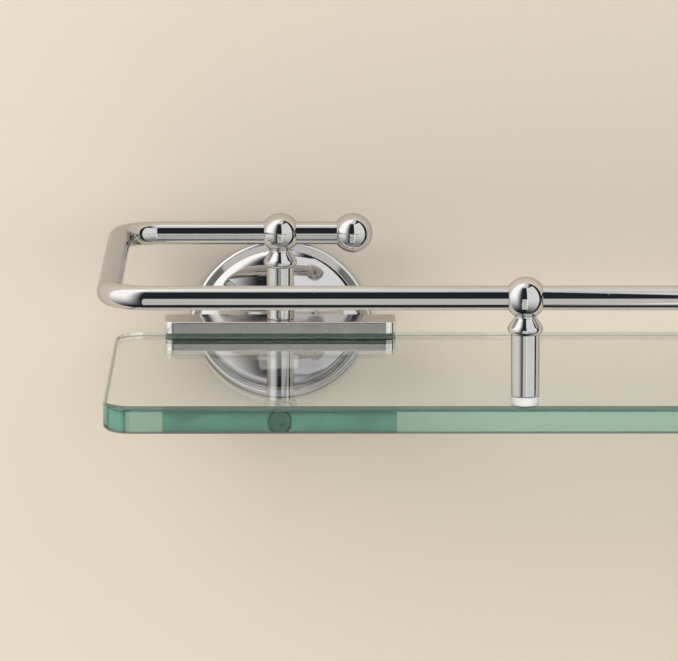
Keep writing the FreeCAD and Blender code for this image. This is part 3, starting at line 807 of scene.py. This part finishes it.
# ---------------------------------------------------------------- stage
WALL_COLOUR = (0.845, 0.765, 0.65)
FLOOR_COLOUR = (0.80, 0.76, 0.70)
MATT = 0.9
WALL_Y = 0.4 * MM  # just behind the roses
WALL_OVERLAP = 1 * MM  # how far a rose covers the rim of the opening behind it
WALL_HALF = 3.0
WALL_RIGHT = 1.1
FLOOR_Z = -0.75
FOCUS = Vector((-0.16, -0.10, 0.02))  # centre of the reflected surroundings
SHELL_R = 1.3
SHELL_DARK = (0.022, 0.026, 0.028)  # the gaps between the soft boxes


def stage_mesh(name, corners, material):
    """One flat face that belongs to the surroundings."""
    mesh = bpy.data.meshes.new(name)
    mesh.from_pydata([tuple(c) for c in corners], [], [tuple(range(len(corners)))])
    mesh.materials.append(material)
    obj = bpy.data.objects.new(name, mesh)
    bpy.context.scene.collection.objects.link(obj)
    return obj


def build_backdrop():
    """The wall, with an opening behind each rose so that light reaches the back of the fittings."""
    outlines = [[(-WALL_HALF, FLOOR_Z), (WALL_RIGHT, FLOOR_Z), (WALL_RIGHT, WALL_HALF),
                 (-WALL_HALF, WALL_HALF)]]
    for side in SIDES:
        node = f"wall_rose_{side}"
        low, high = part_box(node)
        centre = middle(node)
        radius = (high.z - low.z) / 2 - WALL_OVERLAP
        outlines.append(arc((centre.x, centre.z), radius, 0, 360, AROUND)[:-1])
    bm = bmesh.new()
    edges = []
    for outline in outlines:
        verts = [bm.verts.new((x, WALL_Y, z)) for x, z in outline]
        edges += [bm.edges.new(pair) for pair in zip(verts, verts[1:] + verts[:1])]
    bmesh.ops.triangle_fill(bm, edges=edges, use_beauty=True, normal=(0, -1, 0))
    for face in bm.faces:
        face.normal_update()
        if face.normal.y > 0:
            face.normal_flip()
    mesh = bpy.data.meshes.new("backdrop")
    bm.to_mesh(mesh)
    bm.free()
    mesh.materials.append(one_sided("backdrop_paint", WALL_COLOUR, MATT))
    obj = bpy.data.objects.new("backdrop", mesh)
    bpy.context.scene.collection.objects.link(obj)


def one_sided(name, colour, rough):
    """A matt surface that is clear from behind, so that the back of the shelf can be seen."""
    material, tree, shader = new_material(name)
    shader.inputs["Base Color"].default_value = (*colour, 1)
    shader.inputs["Roughness"].default_value = rough
    shader.inputs["Specular IOR Level"].default_value = 0.1
    clear = tree.nodes.new("ShaderNodeBsdfTransparent")
    mix = tree.nodes.new("ShaderNodeMixShader")
    geometry = tree.nodes.new("ShaderNodeNewGeometry")
    link(tree, geometry.outputs["Backfacing"], mix.inputs["Fac"])
    link(tree, shader.outputs["BSDF"], mix.inputs[1])
    link(tree, clear.outputs["BSDF"], mix.inputs[2])
    link(tree, mix.outputs["Shader"], tree.nodes["Material Output"].inputs["Surface"])
    return material


def fade(tree, value, nothing, full):
    """0 at the first limit, 1 at the second, smooth between them."""
    node = tree.nodes.new("ShaderNodeMapRange")
    node.interpolation_type = "SMOOTHSTEP"
    link(tree, value, node.inputs["Value"])
    node.inputs["From Min"].default_value = nothing
    node.inputs["From Max"].default_value = full
    return node.outputs["Result"]


def all_of(tree, *weights):
    """The product of the weights: light only where every one of them allows it."""
    product = weights[0]
    for weight in weights[1:]:
        product = maths(tree, "MULTIPLY", product, weight)
    return product


def build_shell(name, radius, pale_floor):
    """A sphere that only reflected rays, or only rays through glass, can see. It carries soft
    boxes, a low card and dark gaps between them. Azimuth 0 is in front of the shelf and grows
    to the right; both angles are in degrees."""
    material = bpy.data.materials.new(name + "_glow")
    material.use_nodes = True
    material.cycles.emission_sampling = "NONE"
    tree = material.node_tree
    tree.nodes.clear()
    coordinates = tree.nodes.new("ShaderNodeTexCoord")
    unit = tree.nodes.new("ShaderNodeVectorMath")
    unit.operation = "NORMALIZE"
    link(tree, coordinates.outputs["Object"], unit.inputs[0])
    split = tree.nodes.new("ShaderNodeSeparateXYZ")
    link(tree, unit.outputs["Vector"], split.inputs["Vector"])
    right, back, up = split.outputs
    in_front = maths(tree, "MULTIPLY", back, -1.0)
    azimuth = maths(tree, "DEGREES", maths(tree, "ARCTAN2", right, in_front))
    elevation = maths(tree, "DEGREES", maths(tree, "ARCSINE", up))
    # The card's two sides spread a little as they go down from 2 degrees of elevation.
    lean = maths(tree, "MULTIPLY", maths(tree, "SUBTRACT", 2.0, elevation), 1 / 57)
    low_left = maths(tree, "ADD", azimuth, maths(tree, "MULTIPLY", lean, 9.0))
    low_right = maths(tree, "SUBTRACT", azimuth, maths(tree, "MULTIPLY", lean, 5.0))
    left_box = all_of(tree, fade(tree, azimuth, -20, -60), fade(tree, elevation, -62, 22))
    right_box = all_of(tree, fade(tree, azimuth, 7.6, 8.6), fade(tree, azimuth, 78, 75),
                       fade(tree, elevation, -80, 0), fade(tree, elevation, 63, 61))
    low_card = all_of(tree, fade(tree, low_left, -17.5, -16.5), fade(tree, low_right, 9.5, 8.5),
                      fade(tree, elevation, -56, -54), fade(tree, elevation, 2.6, 1.6))
    ceiling = all_of(tree, fade(tree, azimuth, -70, -20), fade(tree, elevation, 60, 70),
                     fade(tree, right, 0.34, 0.10))
    behind = fade(tree, back, 0.02, 0.35)
    lights = [
        ((1.40, 1.38, 1.35), left_box),
        ((0.92, 0.91, 0.90), right_box),
        ((0.68, 0.65, 0.61), low_card),
        ((0.86, 0.86, 0.88), ceiling),
        ((0.60, 0.60, 0.60), behind),
    ]
    if pale_floor:
        lights.append(((0.24, 0.225, 0.205), fade(tree, elevation, -52, -64)))
    total = SHELL_DARK
    for colour, weight in lights:
        scale = tree.nodes.new("ShaderNodeVectorMath")
        scale.operation = "SCALE"
        scale.inputs[0].default_value = colour
        link(tree, weight, scale.inputs["Scale"])
        join = tree.nodes.new("ShaderNodeVectorMath")
        if isinstance(total, tuple):
            join.inputs[0].default_value = total
        else:
            link(tree, total, join.inputs[0])
        link(tree, scale.outputs["Vector"], join.inputs[1])
        total = join.outputs["Vector"]
    emission = tree.nodes.new("ShaderNodeEmission")
    output = tree.nodes.new("ShaderNodeOutputMaterial")
    link(tree, total, emission.inputs["Color"])
    link(tree, emission.outputs["Emission"], output.inputs["Surface"])
    bm = bmesh.new()
    bmesh.ops.create_icosphere(bm, subdivisions=4, radius=radius)
    mesh = bpy.data.meshes.new(name)
    bm.to_mesh(mesh)
    bm.free()
    mesh.materials.append(material)
    shell = bpy.data.objects.new(name, mesh)
    bpy.context.scene.collection.objects.link(shell)
    shell.location = FOCUS
    shell.visible_camera = False
    shell.visible_diffuse = False
    shell.visible_shadow = False
    shell.visible_volume_scatter = False
    return shell


build_backdrop()
floor = stage_mesh("floor", [(-WALL_HALF, -WALL_HALF, FLOOR_Z), (WALL_HALF, -WALL_HALF, FLOOR_Z),
                             (WALL_HALF, WALL_Y, FLOOR_Z), (-WALL_HALF, WALL_Y, FLOOR_Z)],
                   one_sided("floor_paint", FLOOR_COLOUR, MATT))
floor.visible_glossy = False
floor.visible_transmission = False
build_shell("reflection_shell", SHELL_R, False).visible_transmission = False
build_shell("refraction_shell", SHELL_R * 1.05, True).visible_glossy = False


def area_light(name, at, aim, size_x, size_y, power, colour):
    data = bpy.data.lights.new(name, "AREA")
    data.shape = "RECTANGLE"
    data.size, data.size_y = size_x, size_y
    data.energy = power
    data.color = colour
    obj = bpy.data.objects.new(name, data)
    bpy.context.scene.collection.objects.link(obj)
    obj.location = at
    obj.rotation_euler = (Vector(aim) - Vector(at)).to_track_quat("-Z", "Y").to_euler()
    obj.visible_camera = False
    obj.visible_glossy = False
    obj.visible_transmission = False
    return obj


area_light("soft_left", (-1.5, -1.9, 1.5), (-0.1, 0, 0), 1.6, 1.6, 26, (1.0, 0.985, 0.96))
area_light("soft_right", (1.6, -2.1, 0.8), (-0.1, 0, 0), 1.6, 2.0, 23, (0.97, 0.98, 1.0))
area_light("soft_back", (0.6, 2.0, 1.4), (0, 0, 0), 1.6, 1.6, 22, (1, 1, 1))

world = bpy.data.worlds.new("soft_studio")
bpy.context.scene.world = world
world.use_nodes = True
background = world.node_tree.nodes["Background"]
background.inputs["Color"].default_value = (0.93, 0.92, 0.90, 1)
background.inputs["Strength"].default_value = 0.60

# ---------------------------------------------------------------- camera
CAMERA_AT = (-0.18701, -1.79149, 0.32369)
LENS = 313.23
PITCH_DEG = 10.2485
YAW_DEG = 0.1564

camera_data = bpy.data.cameras.new("camera")
camera = bpy.data.objects.new("camera", camera_data)
bpy.context.scene.collection.objects.link(camera)
bpy.context.scene.camera = camera
camera_data.sensor_width = 36.0
camera_data.lens = LENS
camera_data.clip_start = 0.1
camera_data.clip_end = 50.0
camera.location = CAMERA_AT
camera.rotation_euler = (math.radians(90 - PITCH_DEG), 0, math.radians(-YAW_DEG))

scene = bpy.context.scene
scene.view_settings.view_transform = "Standard"
scene.cycles.max_bounces = 24
scene.cycles.glossy_bounces = 14
scene.cycles.transmission_bounces = 20
scene.cycles.transparent_max_bounces = 16
scene.cycles.caustics_reflective = False
scene.cycles.caustics_refractive = False
